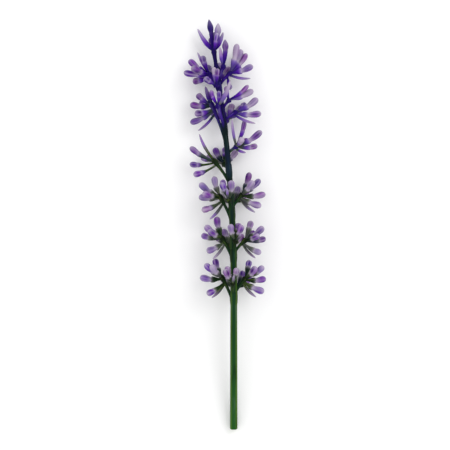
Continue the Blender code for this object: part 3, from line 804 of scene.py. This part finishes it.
# How far each bud may differ from its kind: how far it sways aside and how thick it is for its
# outline, how far its first petal is turned, in radians, and how far its petals wind. A bud
# with less green than the last number, as at the tip, has nothing rosy
BUD_SEED = 900
SWAY = 0.04
GIRTH_DRAW = (0.92, 1.06)
PETAL_TURN = 0.25
PETAL_WIND = 0.3
ROSY_FROM = -0.3

TIP_GREEN = -0.4

# Turn round the stem, angle from it, lift, length in millimetres, kind and tone
TIP_FAN = (
    (0, 1, 0, 9.4, "spear", -0.9),
    (199, 26, 0, 8.3, "sliver", 0.1),
    (24, 20, 0, 8.2, "spear", 0.45),
    (353, 35, 0, 6.3, "sliver", 0.0),
    (60, 38, 0, 5.9, "slim", 0.0),
    (264, 30, 0, 5.3, "slim", -0.5),
    (310, 24, -6, 6.6, "slim", -0.4),
)


def plan_tip():
    """The topmost buds, fanned about the stem's own direction at their knot."""
    centre, axes = stem_centre(TIP_KNOT), stem_axes(TIP_KNOT)
    buds = []
    for turn, angle, lift, length, kind, tone in TIP_FAN:
        outward, across = lateral(axes, turn)
        angle, lift = math.radians(angle), math.radians(lift)
        flat = math.cos(angle) * axes[0] + math.sin(angle) * outward
        way = math.cos(lift) * flat + math.sin(lift) * across
        buds.append((kind, centre, way, axes[0], length * MM, tone, TIP_GREEN, False))
    return buds


def sag_way(way, ahead):
    """The unit direction at right angles to a bud and away from the tip, shortened where the bud
    runs along the stem."""
    lean = ahead - np.sum(ahead * way, -1, keepdims=True) * way
    return -lean / (np.linalg.norm(lean, axis=-1, keepdims=True) + SAG_LEAN)


def bend_to_surface(kind, knot, way, ahead, length, rests):
    """How far a bud's end is raised, so that its solid form is pressed into the surface and not
    sunk: the largest of the rises that the outline's places need, each over its share. One that
    doesn't rest below is never lowered."""
    share, radius = np.array(SOLID_OUTLINES[kind]).T
    run = ROOT_OUT + share * (length - ROOT_OUT)
    sag = np.sin(np.pi * share) * BUD_SAG * length
    height = knot[2] + run * way[2] + sag * sag_way(way, ahead)[2]
    rises = (-PRESS - height + radius * MM * FLAT_SIDE)[1:] / share[1:]
    return rises.max() if rests else max(0.0, rises.max())


def bud_tubes(kind, buds, draws):
    """All buds of one kind. Their line is a straight run that sags and sways aside by a sine.
    Round it stands the outline's radius, times one plus a cosine for the ribs, less a bell curve
    for each crease between petals, which wind a little. Teeth slide the rim along the line by a
    cosine, and nothing goes below the surface."""
    outline = smooth_line(BUD_SHAPES[kind], BUD_STATIONS_PER_ROW)
    share, radius, ribs, teeth, creases, petal, pale = outline.T
    thick, rib_count = BUD_SECTIONS[kind]
    knots, ways, aheads = (np.array([bud[place] for bud in buds]) for place in (1, 2, 3))
    lengths, tones, greens = (np.array([bud[place] for bud in buds]) for place in (4, 5, 6))
    bends = np.array([bend_to_surface(*bud[:5], bud[7]) for bud in buds])
    sags = sag_way(ways, aheads)
    owns = draws.uniform(0, 1, len(buds))
    sways = draws.uniform(-SWAY, SWAY, len(buds))[:, None] * np.cross(ways, sags)

    def line(at):
        run = ROOT_OUT + np.outer(lengths - ROOT_OUT, at)
        bow = np.outer(lengths, np.sin(np.pi * at))
        lift = np.outer(bends, at)
        aside = BUD_SAG * sags + sways
        return (knots[:, None] + run[..., None] * ways[:, None] + bow[..., None] * aside[:, None]
                + lift[..., None] * UPWARDS)

    step = 0.02
    even = np.clip(share, 0, 1)
    along = unit(line(even + step) - line(even - step))
    right = unit(np.cross(along, UPWARDS + SECTION_LEAN * aheads[:, None]))
    up = np.cross(right, along)
    angle = round_places(BUD_AROUND)
    girth = draws.uniform(*GIRTH_DRAW, len(buds))[:, None, None]
    # A petal's middle faces up, so the painted sheen on the petal edges falls on the sides of a bud
    # seen from above.
    start = (draws.uniform(-PETAL_TURN, PETAL_TURN, len(buds)) - np.pi / 2)[:, None, None]
    wind = draws.uniform(-PETAL_WIND, PETAL_WIND, len(buds))[:, None, None]
    phase = (angle + start + wind * share[:, None]) * PETALS / (2 * np.pi) % 1 - 0.5
    crease = np.exp(-(phase / CREASE_WIDTH) ** 2)
    # Painted sheen: a pale band along each petal's edge, so that a bud's sides look pale as a sheen
    # would make them.
    edge = np.exp(-(phase / EDGE_WIDTH) ** 2) * petal[:, None]
    swell = 1 + ribs[:, None] * np.cos(rib_count * angle) - creases[:, None] * crease
    size = radius[:, None] * MM * girth * swell
    slide = teeth[:, None] * MM * np.cos(PETALS * (angle + start))
    rings = (line(share)[:, :, None]
             + (size * np.cos(angle))[..., None] * right[:, :, None]
             + (size * thick * np.sin(angle))[..., None] * up[:, :, None]
             + slide[..., None] * along[:, :, None])
    last = 1.0 if kind in POINTED_BUDS else share[-1] - END_DIMPLE
    poles = line(np.array([0.0, last]))
    for points in (rings, poles):
        points[..., 2] = np.maximum(points[..., 2], SURFACE_GAP)
    rosy = np.where(greens < ROSY_FROM, 0, draws.uniform(0, 1, len(buds)))
    marks = spread_marks(
        rings, along=even[:, None], petal=petal[:, None], pale=pale[:, None], edge=edge,
        tone=tones[:, None, None], green=greens[:, None, None], own=owns[:, None, None],
        rosy=rosy[:, None, None])
    return rings, poles, marks


BUD_RELIEF = 0.04 * MM


def bud_plastic():
    """Near-navy at the foot and violet on the cup, green instead on the lower whorls. The petals
    are violet or rosy violet with dark streaks. The pale rim, neck and end are partly the bud's own
    colour and partly a painted highlight. The pale petal edges are a painted sheen, and greyish
    patches are painted highlights. Each bud has a tone of its own, from dark to pale."""
    plastic = Plastic("bud_plastic", gloss=0.05)
    along = plastic.mark("along")
    petal = plastic.mark("petal")
    tone = plastic.mark("tone")
    fine = plastic.speckle(1.0, 3.0, plastic.wrap(8.0, 1.3))
    broad = plastic.speckle(1.0, 1.0, plastic.wrap(3.0, 0.5))
    clouds = plastic.speckle(420.0, 2.0)
    cup = plastic.ramp(
        along + 0.2 * (fine - 0.5),
        (0.0, dye("140350")), (0.14, dye("260670")), (0.3, dye("42108e")),
        (0.45, dye("5a22a0")), (0.6, dye("6c3aa6")))
    violet = plastic.ramp(
        fine,
        (0.34, dye("220460")), (0.44, dye("3c0c88")), (0.54, dye("5a229c")), (0.66, dye("8468ac")))
    rosy = plastic.ramp(
        fine,
        (0.34, dye("3c0454")), (0.44, dye("5e1076")), (0.54, dye("7a308c")), (0.66, dye("9c74a6")))
    head = plastic.blend(violet, rosy, plastic.mark("rosy"))
    reach = plastic.mark("green") * 0.55 + 0.25 * (clouds - 0.5)
    green_share = plastic.ease(reach - along, -0.12, 0.12)
    leafy = plastic.ramp(
        fine, (0.34, dye("081c0e")), (0.52, dye("1a3213")), (0.7, dye("566426")))
    cup = plastic.blend(cup, leafy, green_share)
    colour = plastic.blend(cup, head, petal)
    dark = plastic.ease(0 - tone, 0.0, 1.0)
    # How much of the painted highlights and sheen below a bud takes: less on a dark bud.
    light = 1 - 0.8 * dark
    colour = plastic.blend(colour, dye("0e0150"), 0.85 * dark)
    paleness = 0.8 * plastic.ease(tone, 0.0, 1.0) * (0.3 + 0.7 * petal)
    colour = plastic.blend(colour, dye("aaa0b0"), paleness)
    # Painted sheen along the petal edges, patchy by the clouds.
    edge = plastic.mark("edge") * (0.35 + 0.8 * plastic.ease(clouds, 0.35, 0.6))
    colour = plastic.blend(colour, dye("9f92ab"), 0.45 * edge * light)
    # Painted highlight: broad greyish patches stand in for the lit side of the plastic, more on the
    # petals.
    highlight_patch = plastic.ease(broad, 0.5, 0.64)
    colour = plastic.blend(colour, dye("a69bb0"), highlight_patch * (0.1 + 0.35 * petal) * light)
    # The pale rim, neck and end are partly the bud's own pale colour and partly a painted highlight
    # where the rim and the rounded end catch the light.
    pale = plastic.mark("pale") * (0.55 + 0.6 * fine)
    colour = plastic.blend(colour, dye("b6acbc"), 0.9 * pale * light)
    relief = fine * 0.6 + plastic.speckle(GRAIN_SCALE, 2.0) * 0.4
    return plastic.finish(colour, 0.3 + 0.2 * clouds, relief, BUD_RELIEF)


bud_finish = bud_plastic()
bud_plans = {"tip_spray": plan_tip(), **whorl_plans}
for order, (node, buds) in enumerate(bud_plans.items()):
    draws = np.random.default_rng(BUD_SEED + order)
    for kind in BUD_SHAPES:
        of_kind = [bud for bud in buds if bud[0] == kind]
        if not of_kind:
            continue
        piece = skin(f"{node}_{kind}s", *bud_tubes(kind, of_kind, draws))
        piece.data.materials.append(bud_finish)
        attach(piece, "root")
        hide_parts(node)


# The floor, the light and the camera
# The spike lies on a plain pale sheet under wide soft lamps. The camera looks straight down on it
# through a long lens, so that its front is seen as on a standing plant.

FLOOR_HALF = 1.5
FLOOR_HEIGHT = -0.04 * MM
FLOOR_TONE = (0.9, 0.9, 0.9, 1.0)
FLOOR_ROUGHNESS = 0.9
SKY_STRENGTH = 0.95
VIEW_HEIGHT = 0.485
LENS = 135.0
NEAREST = 0.01

corners = [(FLOOR_HALF * x, FLOOR_HALF * y, FLOOR_HEIGHT)
           for x, y in ((-1, -1), (1, -1), (1, 1), (-1, 1))]
sheet = bpy.data.meshes.new("pale_floor")
sheet.from_pydata(corners, [], [(0, 1, 2, 3)])
floor = bpy.data.objects.new("pale_floor", sheet)
bpy.context.scene.collection.objects.link(floor)
paper = bpy.data.materials.new("pale_paper")
paper.use_nodes = True
paper.node_tree.nodes["Principled BSDF"].inputs["Base Color"].default_value = FLOOR_TONE
paper.node_tree.nodes["Principled BSDF"].inputs["Roughness"].default_value = FLOOR_ROUGHNESS
sheet.materials.append(paper)

world = bpy.data.worlds.new("studio")
world.use_nodes = True
world.node_tree.nodes["Background"].inputs["Color"].default_value = (1.0, 1.0, 1.0, 1.0)
world.node_tree.nodes["Background"].inputs["Strength"].default_value = SKY_STRENGTH
bpy.context.scene.world = world

# Name, place and width in metres, and power in watts
for name, place, size, power in (
    ("key_lamp", (0.30, 0.24, 0.42), 0.30, 0.9),
    ("fill_lamp", (-0.36, 0.10, 0.42), 0.55, 0.35),
    ("foot_lamp", (0.05, -0.46, 0.40), 0.55, 0.2),
):
    lamp = bpy.data.lights.new(name, "AREA")
    lamp.size = size
    lamp.energy = power
    holder = bpy.data.objects.new(name, lamp)
    holder.location = place
    aim = -unit(np.array(place))
    holder.rotation_euler = (math.acos(-aim[2]), 0.0, math.atan2(-aim[0], aim[1]))
    bpy.context.scene.collection.objects.link(holder)

lens = bpy.data.cameras.new("camera")
lens.lens = LENS
lens.clip_start = NEAREST
camera = bpy.data.objects.new("camera", lens)
camera.location = (0.0, 0.0, VIEW_HEIGHT)
bpy.context.scene.collection.objects.link(camera)
bpy.context.scene.camera = camera
bpy.context.scene.view_settings.view_transform = "Standard"
